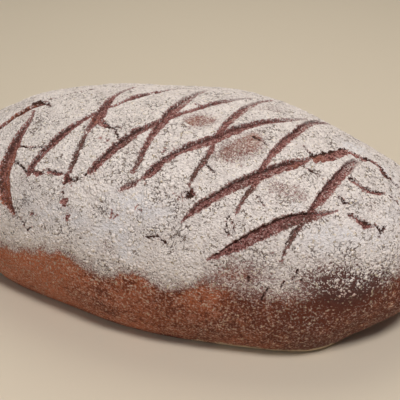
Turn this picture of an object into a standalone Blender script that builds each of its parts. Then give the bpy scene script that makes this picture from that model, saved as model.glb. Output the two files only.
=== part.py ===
"""Rye bread loaf: one long hearth loaf, uncut, scored across its crown in two crossing families of slashes.

Metres, +Z up. The origin is on the table under the middle of the loaf's box, +X runs along the loaf to its fuller end
and -Y faces the flank that the slashes lean towards. The loaf is one closed solid with a flat underside.
"""
import math

import bmesh
import bpy
from mathutils import Vector, noise
from mathutils.bvhtree import BVHTree

# --- driving dimensions -------------------------------------------------------------------------------------------
LEFT_REACH = 0.150          # widest section to the tip at -X
RIGHT_REACH = 0.147         # widest section to the tip at +X
LOAF_WIDTH = 0.163
LOAF_HEIGHT = 0.106
BELLY_SHARE = 0.375         # height of the widest line of the flanks, as a share of the loaf's height
TIP_SHARE = {-1: 0.41, 1: 0.40}       # height of each tip, as a share of the loaf's height
PLAN_FULLNESS = {-1: 2.05, 1: 2.30}   # 2 is an ellipse seen from above, more is blunter
CROWN_FULLNESS = {-1: 2.10, 1: 1.85}  # the same for the crown line seen from the side
LIFT_START = {-1: 0.62, 1: 0.60}      # share of each reach after which the underside leaves the table
LIFT_FULLNESS = 1.7
SHOULDER_WIDTH_POWER = 0.93  # powers of the section's cosine and sine above the belly line: 1 is an ellipse
SHOULDER_HEIGHT_POWER = 0.88
BELLY_SHIFT_POWER = 4        # how late the belly line runs up or down to the tip's height
FOOT_SHARE = 0.835           # half width of the flat underside, as a share of the widest line's
FOOT_NARROWING = {-1: 0.04, 1: 0.12}  # how much of that share is lost towards each tip
FLANK_LEAN = 2.4             # how late the flank turns in to the foot: 1 is a straight lean
HEEL_ROUNDING = 1.5          # how late the foot's edge rounds off towards the tips

GRID = 22                    # faces along each edge of the starting cube
TINY = 0.0001                # of the starting cube, to tell its corners by
UNEVEN = 0.0007              # hand-shaped unevenness, and the size of one lump
LUMP_SIZE = 0.030
LUMP_FADE = 0.010            # the lumps fade out below this height
END_PUSH = 0.3               # how much of a lump's push goes along the loaf

# Swells and dents of the hand-shaped dough: middle, radius, push
SWELLS = (
    ((-0.030, 0.042, 0.095), 0.045, (0.0, -0.0005, -0.0008)),
    ((0.030, 0.048, 0.094), 0.035, (0.0, 0.0013, 0.0022)),
    ((0.085, 0.042, 0.080), 0.030, (-0.0004, -0.0010, -0.0016)),
    ((-0.050, -0.072, 0.012), 0.030, (0.0, 0.0030, 0.0)),
    ((0.045, -0.074, 0.010), 0.030, (0.0, 0.0015, 0.0)),
    ((0.094, -0.058, 0.010), 0.030, (0.0003, -0.0009, 0.0)),
    ((0.122, -0.040, 0.022), 0.030, (-0.0005, 0.0007, 0.0014)),
    ((0.109, -0.053, 0.013), 0.012, (0.0, 0.0008, 0.0024)),
    ((0.133, -0.027, 0.022), 0.016, (0.0, -0.0010, -0.0024)),
)

# Slashes in two families: the long one leans along the loaf, the cross one goes over the crown nearly square to it.
LONG_SLASHES = (              # depth, then stations (x, y, width), all in millimetres
    (1.8, ((-116, -44, 2.0), (-107, -32, 4.0), (-99, -23, 4.6), (-94, -14, 6.0), (-88, -7, 7.5), (-83, -5, 5.5),
           (-79, -6, 1.5))),
    (1.7, ((-65, -57, 3.4), (-60, -47, 4.6), (-54, -36, 5.6), (-48, -26, 3.0), (-42, -17, 2.2), (-35, -8, 2.0),
           (-29, 3, 4.6), (-21, 13, 3.4), (-14, 24, 3.4), (-7, 28, 1.0))),
    (1.9, ((-28, -56, 3.8), (-22, -46, 5.0), (-17, -37, 6.0), (-11, -28, 4.6), (-5, -21, 3.6), (2, -11, 3.0),
           (9, -3, 3.0), (17, 9, 3.6), (25, 19, 2.4), (32, 26, 1.0))),
    (2.0, ((-9, -62, 2.2), (-4, -59, 3.0), (-1, -57, 0.7), (3, -53, 4.8), (9, -44, 4.0), (18, -34, 5.4),
           (27, -25, 6.2), (36, -12, 6.0), (45, 0, 4.4), (55, 11, 3.2), (65, 24, 1.2))),
    (2.2, ((25, -68, 0.8), (31, -62, 4.2), (38, -56, 4.2), (46, -48, 5.4), (54, -40, 6.2), (62, -32, 5.8),
           (69, -25, 5.8), (75, -17, 1.4))),
    (2.2, ((40, -75, 0.6), (47, -72, 3.6), (56, -67, 6.0), (66, -60, 6.8), (74, -54, 6.2), (82, -49, 5.2),
           (88, -45, 2.4), (94, -40, 0.6))),
)
CROSS_SLASHES = (
    (2.4, ((-69, -69, 1.2), (-72, -67, 4.4), (-77, -63, 8.4), (-81, -56, 9.2), (-82, -48, 9.0), (-82, -39, 7.2),
           (-82, -30, 4.6), (-82, -22, 2.4), (-85, -14, 2.4))),
    (1.6, ((-40, -57, 2.2), (-40, -50, 3.2), (-40, -42, 2.6), (-41, -33, 2.4), (-40, -27, 5.0), (-40, -20, 7.0),
           (-41, -10, 5.4), (-42, 2, 3.4), (-41, 11, 2.2), (-38, 21, 2.2))),
    (1.6, ((-6, -54, 2.2), (-5, -47, 3.0), (-5, -39, 3.0), (-4, -29, 4.2), (-3, -20, 5.6), (-2, -9, 6.2),
           (0, 5, 6.2), (2, 17, 4.6), (5, 27, 1.5))),
    (1.3, ((24, -55, 1.2), (25, -48, 2.4), (27, -40, 2.5), (28, -33, 2.6), (27, -26, 1.4), (28, -16, 3.2),
           (30, -4, 4.0), (33, 11, 4.2), (37, 23, 2.6), (42, 33, 1.2))),
    (1.6, ((49, -60, 0.7), (52, -50, 2.2), (54, -44, 3.0), (55, -35, 2.8), (57, -25, 3.4), (60, -12, 4.2),
           (64, 5, 4.6), (67, 18, 4.6), (71, 31, 3.4), (75, 38, 1.0))),
    (2.0, ((74, -67, 0.8), (77, -60, 1.7), (80, -52, 2.8), (83, -45, 3.0), (86, -37, 5.0), (89, -27, 5.4),
           (92, -17, 5.4), (94, -8, 5.4), (96, -2, 4.6))),
)
STEPS = 2                    # sections of a slash's cutter from one station to the next
BLADE_RISE = 0.003           # how far a slash's cutter stands out of the crust
FLOOR_SHARE = 0.36           # width of a slash's floor, as a share of its mouth
WALL_WIDTH = 0.80            # width half way down a slash, as a share of its mouth
WALL_DEPTH = 0.45            # and how deep that is, as a share of its depth
FLARE = 0.6                  # how much the walls lean out above the crust
OPENED_WIDTH = 0.0050        # a slash reaches its depth where it opened at least this much
THINNEST = 0.0010            # smallest width of a cutter
ABOVE_LOAF = 1.0             # height that rays are dropped from
MM = 0.001

CRUST_COLOUR = (0.23, 0.10, 0.055, 1.0)


def clear_scene():
    for thing in list(bpy.data.objects):
        bpy.data.objects.remove(thing, do_unlink=True)


def quarter_curve(share, fullness):
    """Falls from 1 in the middle to 0 at the tip, round at the tip."""
    return math.sqrt(max(0.0, 1.0 - share ** fullness))


def section_at(x):
    """Half width, crown, underside and belly heights, foot share and lift, of the loaf at x."""
    side = -1 if x < 0 else 1
    reach = LEFT_REACH if side < 0 else RIGHT_REACH
    share = min(1.0, abs(x) / reach)
    half_width = LOAF_WIDTH / 2 * quarter_curve(share, PLAN_FULLNESS[side])
    tip = TIP_SHARE[side] * LOAF_HEIGHT
    crown = tip + (LOAF_HEIGHT - tip) * quarter_curve(share, CROWN_FULLNESS[side])
    lift = max(0.0, (share - LIFT_START[side]) / (1.0 - LIFT_START[side]))
    underside = tip * (1.0 - quarter_curve(lift, LIFT_FULLNESS))
    belly = BELLY_SHARE * LOAF_HEIGHT
    belly = max(underside, belly + (tip - belly) * share ** BELLY_SHIFT_POWER)
    foot = FOOT_SHARE - FOOT_NARROWING[side] * share ** 2
    return half_width, crown, underside, belly, foot, lift


def on_loaf(direction):
    """The point of the loaf's surface that lies in this direction of a unit ball."""
    x = direction.x * (LEFT_REACH if direction.x < 0 else RIGHT_REACH)
    half_width, crown, underside, belly, foot, lift = section_at(x)
    angle = math.atan2(direction.z, direction.y)
    across, steep = math.cos(angle), abs(math.sin(angle))
    if direction.z >= 0:
        width = abs(across) ** SHOULDER_WIDTH_POWER
        z = belly + (crown - belly) * steep ** SHOULDER_HEIGHT_POWER
    else:
        turned = 4 * math.asin(steep) / math.pi     # 0 at the belly line, 1 at the foot's edge, 2 straight down
        down = min(turned, 1.0)
        rounded = lift ** HEEL_ROUNDING
        width = (1 - (1 - foot) * down ** FLANK_LEAN) * min(2 - turned, 1.0)
        width += rounded * (abs(across) - width)
        z = belly - (belly - underside) * (down + rounded * (steep - down))
    return Vector((x, math.copysign(half_width * width, across), z))


def hand_shaped(point):
    """Adds the swells, dents and lumps, and keeps the underside flat on the table."""
    moved = point.copy()
    for middle, radius, push in SWELLS:
        nearness = math.exp(-((point - Vector(middle)).length / radius) ** 2)
        moved += nearness * Vector(push)
    if point.z == 0.0:
        moved.z = 0.0
        return moved
    outward = Vector((point.x * END_PUSH, point.y, point.z - BELLY_SHARE * LOAF_HEIGHT)).normalized()
    moved += outward * UNEVEN * noise.noise(point / LUMP_SIZE) * min(1.0, point.z / LUMP_FADE)
    moved.z = max(0.0, moved.z)
    return moved


def split_at_foot(mesh):
    """On both ends of the cube the foot's edge runs from corner to corner of the squares: cuts them along it."""
    for face in mesh.faces[:]:
        on_end = all(abs(vert.co.x) > 1 - TINY for vert in face.verts)
        on_edge = [vert for vert in face.verts if abs(abs(vert.co.y) + vert.co.z) < TINY]
        if on_end and len(on_edge) == 2:
            bmesh.utils.face_split(face, *on_edge)


def make_dough():
    """A cube, cut into even squares, blown up to a ball and moved onto the loaf's form."""
    mesh = bmesh.new()
    bmesh.ops.create_cube(mesh, size=2.0)
    bmesh.ops.subdivide_edges(mesh, edges=mesh.edges[:], cuts=GRID - 1, use_grid_fill=True)
    split_at_foot(mesh)
    for vert in mesh.verts:
        even = Vector([math.tan(value * math.pi / 4) for value in vert.co])
        vert.co = hand_shaped(on_loaf(even.normalized()))
    low = Vector([min(v.co[i] for v in mesh.verts) for i in range(3)])
    high = Vector([max(v.co[i] for v in mesh.verts) for i in range(3)])
    middle = (low + high) / 2
    bmesh.ops.translate(mesh, verts=mesh.verts[:], vec=(-middle.x, -middle.y, -low.z))
    bmesh.ops.recalc_face_normals(mesh, faces=mesh.faces[:])
    return mesh, Vector((-middle.x, -middle.y, 0.0))


def smooth_way(stations):
    """A smooth way through the stations: each span takes its bend from its neighbours."""
    stations = [Vector(station) * MM for station in stations]
    padded = [2 * stations[0] - stations[1], *stations, 2 * stations[-1] - stations[-2]]
    way = []
    for before, here, ahead, beyond in zip(padded, padded[1:], padded[2:], padded[3:]):
        for step in range(STEPS):
            t = step / STEPS
            way.append(0.5 * (2 * here + (ahead - before) * t
                              + (2 * before - 5 * here + 4 * ahead - beyond) * t ** 2
                              + (3 * here - before - 3 * ahead + beyond) * t ** 3))
    return way + [stations[-1]]


def blade_section(width, depth):
    """Mouth, wall and floor points of a slash's section, as (across, up) pairs, right to left."""
    mouth = width / 2 * (1 + BLADE_RISE / depth * (1 - FLOOR_SHARE) * FLARE)
    wall = width / 2 * WALL_WIDTH
    floor = width / 2 * FLOOR_SHARE
    return ((mouth, BLADE_RISE), (wall, -depth * WALL_DEPTH), (floor, -depth),
            (-floor, -depth), (-wall, -depth * WALL_DEPTH), (-mouth, BLADE_RISE))


def make_blade(name, slash, crust, shift):
    """One slash's cutter: sections that stand on the crust, joined from end to end."""
    depth, stations = slash
    way = smooth_way(stations)
    mesh = bmesh.new()
    rings = []
    for index, (x, y, width) in enumerate(way):
        ahead = way[min(index + 1, len(way) - 1)] - way[max(index - 1, 0)]
        above = Vector((x, y, ABOVE_LOAF)) + shift
        spot, normal, _, _ = crust.ray_cast(above, Vector((0, 0, -1)))
        along = Vector((ahead.x, ahead.y, 0.0)).normalized()
        across = along.cross(normal).normalized()
        width = max(width, THINNEST)
        corners = blade_section(width, depth * MM * min(width / OPENED_WIDTH, 1.0))
        rings.append([mesh.verts.new(spot + across * side + normal * rise) for side, rise in corners])
    for near, far in zip(rings, rings[1:]):
        for k in range(len(near)):
            mesh.faces.new((near[k], near[k - 1], far[k - 1], far[k]))
    mesh.faces.new(rings[0])
    mesh.faces.new(reversed(rings[-1]))
    bmesh.ops.triangulate(mesh, faces=mesh.faces[:])
    bmesh.ops.recalc_face_normals(mesh, faces=mesh.faces[:])
    blade = mesh_object(name, mesh)
    blade.hide_render = True
    blade.display_type = "WIRE"
    return blade


def mesh_object(name, mesh):
    data = bpy.data.meshes.new(name)
    mesh.to_mesh(data)
    mesh.free()
    thing = bpy.data.objects.new(name, data)
    bpy.context.scene.collection.objects.link(thing)
    return thing


def crust_material():
    material = bpy.data.materials.new("rye_crust")
    material.use_nodes = True
    shader = material.node_tree.nodes["Principled BSDF"]
    shader.inputs["Base Color"].default_value = CRUST_COLOUR
    shader.inputs["Roughness"].default_value = 0.85
    shader.inputs["Metallic"].default_value = 0.0
    return material


def make_loaf():
    dough, shift = make_dough()
    crust = BVHTree.FromBMesh(dough)
    loaf = mesh_object("loaf", dough)
    for family, slashes in (("long", LONG_SLASHES), ("cross", CROSS_SLASHES)):
        for number, slash in enumerate(slashes, 1):
            blade = make_blade(f"blade_{family}_{number}", slash, crust, shift)
            cut = loaf.modifiers.new(blade.name, "BOOLEAN")
            cut.operation = "DIFFERENCE"
            cut.solver = "EXACT"
            cut.object = blade
    loaf.data.materials.append(crust_material())
    return loaf


clear_scene()
make_loaf()
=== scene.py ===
# %% [markdown]
# # A hearth-baked rye loaf
# The loaf is one piece of baked dough. Everything that makes it look like rye bread lies on or in its outer few
# millimetres: slashes that opened in the oven, a cracked coat of rye flour over the crown, and bare brown flanks
# with a sandy dusting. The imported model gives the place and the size, and this script makes the finished surface
# around it.

# %% Load the fixed frame
import math
import random

import bmesh
import bpy
import numpy as np
from mathutils import Euler, Matrix, Vector, noise
from mathutils.bvhtree import BVHTree


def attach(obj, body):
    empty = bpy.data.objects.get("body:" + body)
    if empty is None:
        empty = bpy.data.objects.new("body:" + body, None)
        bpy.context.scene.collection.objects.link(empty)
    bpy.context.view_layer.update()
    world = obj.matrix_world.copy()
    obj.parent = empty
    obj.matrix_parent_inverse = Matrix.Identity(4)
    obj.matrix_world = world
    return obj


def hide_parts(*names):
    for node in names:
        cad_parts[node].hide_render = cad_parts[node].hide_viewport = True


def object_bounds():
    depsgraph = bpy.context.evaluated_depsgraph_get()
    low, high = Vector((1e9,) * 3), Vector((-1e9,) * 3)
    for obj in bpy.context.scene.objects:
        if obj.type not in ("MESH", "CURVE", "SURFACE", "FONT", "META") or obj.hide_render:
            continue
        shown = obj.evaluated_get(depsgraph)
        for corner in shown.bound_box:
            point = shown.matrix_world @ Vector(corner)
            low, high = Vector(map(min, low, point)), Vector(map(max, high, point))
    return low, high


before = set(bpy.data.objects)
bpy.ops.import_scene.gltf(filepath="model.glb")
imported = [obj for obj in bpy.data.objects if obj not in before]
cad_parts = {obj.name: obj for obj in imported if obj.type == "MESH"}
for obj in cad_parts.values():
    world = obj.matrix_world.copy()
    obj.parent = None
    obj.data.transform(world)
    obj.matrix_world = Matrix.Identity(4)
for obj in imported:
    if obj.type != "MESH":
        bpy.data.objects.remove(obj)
cad_low, cad_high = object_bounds()
cad_size = cad_high - cad_low
print("CAD box:", [round(1000 * side, 1) for side in cad_size], "mm")

# %% [markdown]
# ## The form of the dough
# A long loaf is shaped by hand, so its outline is a rounded oval, a little blunter at one end. Its section is a
# low dome whose flanks lean in to a flat foot, which has a fairly sharp edge because the dough set on a hot
# stone. It could be sculpted, but a form worked out from a few sizes can be checked against the solid, so the
# sizes that shape the solid are used here: reaches, fullness of the curves, width of the foot, lean of the
# flanks, and the places where the underside leaves the table at both ends. All sizes are in metres.

# %% Sizes of the dough
LEFT_REACH = 0.150           # widest section to the tip at -X
RIGHT_REACH = 0.147          # widest section to the tip at +X
LOAF_WIDTH = 0.163
LOAF_HEIGHT = 0.106
BELLY_SHARE = 0.375          # height of the widest line of the flanks, as a share of the loaf's height
TIP_SHARE = (0.41, 0.40)     # at -X and +X: height of the tip
PLAN_FULLNESS = (2.05, 2.30)   # 2 is an ellipse seen from above, more is blunter
CROWN_FULLNESS = (2.10, 1.85)  # the same for the crown line seen from the side
LIFT_START = (0.62, 0.60)      # share of each reach after which the underside leaves the table
LIFT_FULLNESS = 1.7
SHOULDER_WIDTH_POWER = 0.93
SHOULDER_HEIGHT_POWER = 0.88
FOOT_SHARE = 0.835           # half width of the flat underside, as a share of the widest line's
FOOT_NARROWING = (0.04, 0.12)  # at -X and +X: how much of that share is lost towards the tip
FLANK_LEAN = 2.4             # how late the flank turns in to the foot: 1 is a straight lean
HEEL_ROUNDING = 1.5          # how late the foot's edge rounds off towards the tips
MM = 0.001

# %% From a ball to the loaf
def quarter_curve(share, fullness):
    """Falls from 1 in the middle to 0 at the tip, round at the tip."""
    return np.sqrt(np.clip(1.0 - share ** fullness, 0.0, 1.0))


def each_end(x, pair):
    return np.where(x < 0, pair[0], pair[1])


def section_at(x):
    """Half width, crown, underside and belly heights, foot share and roundness, of the loaf at every x."""
    share = np.clip(np.abs(x) / each_end(x, (LEFT_REACH, RIGHT_REACH)), 0.0, 1.0)
    half_width = LOAF_WIDTH / 2 * quarter_curve(share, each_end(x, PLAN_FULLNESS))
    tip = each_end(x, TIP_SHARE) * LOAF_HEIGHT
    crown = tip + (LOAF_HEIGHT - tip) * quarter_curve(share, each_end(x, CROWN_FULLNESS))
    start = each_end(x, LIFT_START)
    lift = np.clip((share - start) / (1.0 - start), 0.0, 1.0)
    underside = tip * (1.0 - quarter_curve(lift, LIFT_FULLNESS))
    belly = BELLY_SHARE * LOAF_HEIGHT
    belly = np.maximum(underside, belly + (tip - belly) * share ** 4)
    foot = FOOT_SHARE - each_end(x, FOOT_NARROWING) * share ** 2
    return half_width, crown, underside, belly, foot, lift


def on_loaf(direction):
    """The points of the loaf's surface that lie in these directions of a unit ball."""
    x = direction[:, 0] * each_end(direction[:, 0], (LEFT_REACH, RIGHT_REACH))
    half_width, crown, underside, belly, foot, lift = section_at(x)
    angle = np.arctan2(direction[:, 2], direction[:, 1])
    across, steep = np.cos(angle), np.abs(np.sin(angle))
    dome_width = np.abs(across) ** SHOULDER_WIDTH_POWER
    dome = belly + (crown - belly) * steep ** SHOULDER_HEIGHT_POWER
    turned = 4.0 * np.arcsin(steep) / math.pi          # 0 at the belly line, 1 at the edge of the foot, 2 below
    down = np.minimum(turned, 1.0)
    leaning = (1.0 - (1.0 - foot) * down ** FLANK_LEAN) * np.minimum(2.0 - turned, 1.0)
    rounded = lift ** HEEL_ROUNDING
    heel_width = (1.0 - rounded) * leaning + rounded * np.abs(across)
    heel = belly - (belly - underside) * ((1.0 - rounded) * down + rounded * steep)
    above = direction[:, 2] >= 0
    y = half_width * np.sign(across) * np.where(above, dome_width, heel_width)
    return np.column_stack((x, y, np.where(above, dome, heel)))


# %% [markdown]
# Dough keeps the marks of the hands: a few broad swells and dents a couple of millimetres deep, and a low
# unevenness everywhere. Each swell pushes the surface by a small step that fades with the distance from its
# middle. The underside stays flat where the loaf sat on the hot stone.

# %% Swells, dents and lumps
SWELLS = (                    # middle, radius, push
    ((-0.030, 0.042, 0.095), 0.045, (0.0, -0.0005, -0.0008)),
    ((0.030, 0.048, 0.094), 0.035, (0.0, 0.0013, 0.0022)),
    ((0.085, 0.042, 0.080), 0.030, (-0.0004, -0.0010, -0.0016)),
    ((-0.050, -0.072, 0.012), 0.030, (0.0, 0.0030, 0.0)),
    ((0.045, -0.074, 0.010), 0.030, (0.0, 0.0015, 0.0)),
    ((0.094, -0.058, 0.010), 0.030, (0.0003, -0.0009, 0.0)),
    ((0.122, -0.040, 0.022), 0.030, (-0.0005, 0.0007, 0.0014)),
    ((0.109, -0.053, 0.013), 0.012, (0.0, 0.0008, 0.0024)),
    ((0.133, -0.027, 0.022), 0.016, (0.0, -0.0010, -0.0024)),
)
UNEVEN = 0.0007
LUMP_SIZE = 0.030
LUMP_FADE = 0.010


def noise_at(points, size, seed=0.0):
    """Smooth random values from about -1 to 1, with lumps of this size."""
    shift = Vector((seed, 2.3 * seed, -1.7 * seed))
    return np.array([noise.noise(Vector(p) / size + shift) for p in points.tolist()])


def hand_shaped(points):
    """Adds the swells, dents and lumps, and keeps the underside flat on the table."""
    moved = points.copy()
    for middle, radius, push in SWELLS:
        distance = np.linalg.norm(points - np.array(middle), axis=1)
        moved += np.exp(-(distance / radius) ** 2)[:, None] * np.array(push)
    outward = np.column_stack((0.3 * points[:, 0], points[:, 1], points[:, 2] - BELLY_SHARE * LOAF_HEIGHT))
    outward /= np.linalg.norm(outward, axis=1)[:, None]
    lumps = UNEVEN * noise_at(points, LUMP_SIZE) * np.minimum(1.0, points[:, 2] / LUMP_FADE)
    moved += outward * lumps[:, None]
    moved[:, 2] = np.where(points[:, 2] == 0.0, 0.0, np.maximum(0.0, moved[:, 2]))
    return moved


def dough_points(mesh):
    """Where each vertex of the ball goes on the hand-shaped loaf."""
    ball = np.array([vert.co for vert in mesh.verts])
    ball /= np.linalg.norm(ball, axis=1)[:, None]
    return hand_shaped(on_loaf(ball))


# %% [markdown]
# The skin starts as a cube cut into a grid of nearly square faces and blown up to a ball, so it has no poles and
# no seam. The grid gets more cuts along the loaf than across it, because the loaf is three times as long as it is
# high.

# %% An even grid on a ball
CUTS = (132, 64, 64)          # faces along, across and up each side of the starting cube
TINY = 0.0001


def split_at_foot(mesh):
    """On both ends of the cube the foot's edge runs from corner to corner of the squares: cuts them along it."""
    for face in mesh.faces[:]:
        on_end = all(abs(vert.co.x) > 1 - TINY for vert in face.verts)
        on_edge = [vert for vert in face.verts if abs(abs(vert.co.y) + vert.co.z) < TINY]
        if on_end and len(on_edge) == 2:
            bmesh.utils.face_split(face, *on_edge)


def even_ball():
    mesh = bmesh.new()
    bmesh.ops.create_cube(mesh, size=2.0)
    for axis, count in enumerate(CUTS):
        along = [e for e in mesh.edges if abs(e.verts[0].co[axis] - e.verts[1].co[axis]) > 0.5]
        bmesh.ops.subdivide_edges(mesh, edges=along, cuts=count - 1, use_grid_fill=True)
    split_at_foot(mesh)
    for vert in mesh.verts:
        vert.co = Vector([math.tan(value * math.pi / 4) for value in vert.co]).normalized()
    return mesh


skin = even_ball()
smooth_points = dough_points(skin)
crust_tree = BVHTree.FromPolygons(smooth_points.tolist(), [[v.index for v in f.verts] for f in skin.faces])
print("even grid:", len(skin.faces), "faces")

# %% [markdown]
# ## The slashes
# The baker cuts the risen loaf with a thin blade just before it goes in. In the oven the cuts open: the floor is
# torn crumb that browned later and stayed free of flour, the far side is a low wall under a raised lip, and the
# near side slopes. There are two families that cross, one leaning along the loaf and one going over the crown.
# Each opened by its own amount along its way, so each is given as a few stations, seen from above: place, and
# width of the mouth there.

# %% The two families of slashes
LONG_SLASHES = (              # depth, then stations (x, y, width), all in millimetres
    (1.8, ((-116, -44, 2.0), (-107, -32, 4.0), (-99, -23, 4.6), (-94, -14, 6.0), (-88, -7, 7.5), (-83, -5, 5.5),
           (-79, -6, 1.5))),
    (1.7, ((-65, -57, 3.4), (-60, -47, 4.6), (-54, -36, 5.6), (-48, -26, 3.0), (-42, -17, 2.2), (-35, -8, 2.0),
           (-29, 3, 4.6), (-21, 13, 3.4), (-14, 24, 3.4), (-7, 28, 1.0))),
    (1.9, ((-28, -56, 3.8), (-22, -46, 5.0), (-17, -37, 6.0), (-11, -28, 4.6), (-5, -21, 3.6), (2, -11, 3.0),
           (9, -3, 3.0), (17, 9, 3.6), (25, 19, 2.4), (32, 26, 1.0))),
    (2.0, ((-9, -62, 2.2), (-4, -59, 3.0), (-1, -57, 0.7), (3, -53, 4.8), (9, -44, 4.0), (18, -34, 5.4),
           (27, -25, 6.2), (36, -12, 6.0), (45, 0, 4.4), (55, 11, 3.2), (65, 24, 1.2))),
    (2.2, ((25, -68, 0.8), (31, -62, 4.2), (38, -56, 4.2), (46, -48, 5.4), (54, -40, 6.2), (62, -32, 5.8),
           (69, -25, 5.8), (75, -17, 1.4))),
    (2.2, ((40, -75, 0.6), (47, -72, 3.6), (56, -67, 6.0), (66, -60, 6.8), (74, -54, 6.2), (82, -49, 5.2),
           (88, -45, 2.4), (94, -40, 0.6))),
)
CROSS_SLASHES = (
    (2.4, ((-69, -69, 1.2), (-72, -67, 4.4), (-77, -63, 8.4), (-81, -56, 9.2), (-82, -48, 9.0), (-82, -39, 7.2),
           (-82, -30, 4.6), (-82, -22, 2.4), (-85, -14, 2.4))),
    (1.6, ((-40, -57, 2.2), (-40, -50, 3.2), (-40, -42, 2.6), (-41, -33, 2.4), (-40, -27, 5.0), (-40, -20, 7.0),
           (-41, -10, 5.4), (-42, 2, 3.4), (-41, 11, 2.2), (-38, 21, 2.2))),
    (1.6, ((-6, -54, 2.2), (-5, -47, 3.0), (-5, -39, 3.0), (-4, -29, 4.2), (-3, -20, 5.6), (-2, -9, 6.2),
           (0, 5, 6.2), (2, 17, 4.6), (5, 27, 1.5))),
    (1.3, ((24, -55, 1.2), (25, -48, 2.4), (27, -40, 2.5), (28, -33, 2.6), (27, -26, 1.4), (28, -16, 3.2),
           (30, -4, 4.0), (33, 11, 4.2), (37, 23, 2.6), (42, 33, 1.2))),
    (1.6, ((49, -60, 0.7), (52, -50, 2.2), (54, -44, 3.0), (55, -35, 2.8), (57, -25, 3.4), (60, -12, 4.2),
           (64, 5, 4.6), (67, 18, 4.6), (71, 31, 3.4), (75, 38, 1.0))),
    (2.0, ((74, -67, 0.8), (77, -60, 1.7), (80, -52, 2.8), (83, -45, 3.0), (86, -37, 5.0), (89, -27, 5.4),
           (92, -17, 5.4), (94, -8, 5.4), (96, -2, 4.6))),
)


def laid_on_crust(plan_points):
    """The plan points dropped onto the crown, with the crown's normal at each."""
    spots, normals = [], []
    for x, y in plan_points:
        spot, normal, _, _ = crust_tree.ray_cast(Vector((x, y, 1.0)), Vector((0.0, 0.0, -1.0)))
        spots.append(spot)
        normals.append(normal)
    return np.array(spots), np.array(normals)


def smooth_way(stations, steps=5):
    """A smooth way through the stations: each span takes its bend from its neighbours."""
    stations = np.array(stations, dtype=float)
    padded = np.vstack((2 * stations[0] - stations[1], stations, 2 * stations[-1] - stations[-2]))
    way = []
    for before, here, ahead, beyond in zip(padded, padded[1:], padded[2:], padded[3:]):
        for t in np.arange(steps) / steps:
            way.append(0.5 * (2 * here + (ahead - before) * t
                              + (2 * before - 5 * here + 4 * ahead - beyond) * t ** 2
                              + (3 * here - before - 3 * ahead + beyond) * t ** 3))
    return np.array(way + [stations[-1]])


slashes = []
for depth, stations in LONG_SLASHES + CROSS_SLASHES:
    way = smooth_way(stations) * MM
    spots, normals = laid_on_crust(way[:, :2])
    slashes.append((spots, normals, np.maximum(way[:, 2], 0.3 * MM), depth * MM))
print("slashes:", len(slashes), "widest", round(max(1000 * widths.max() for _, _, widths, _ in slashes), 1), "mm")
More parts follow.
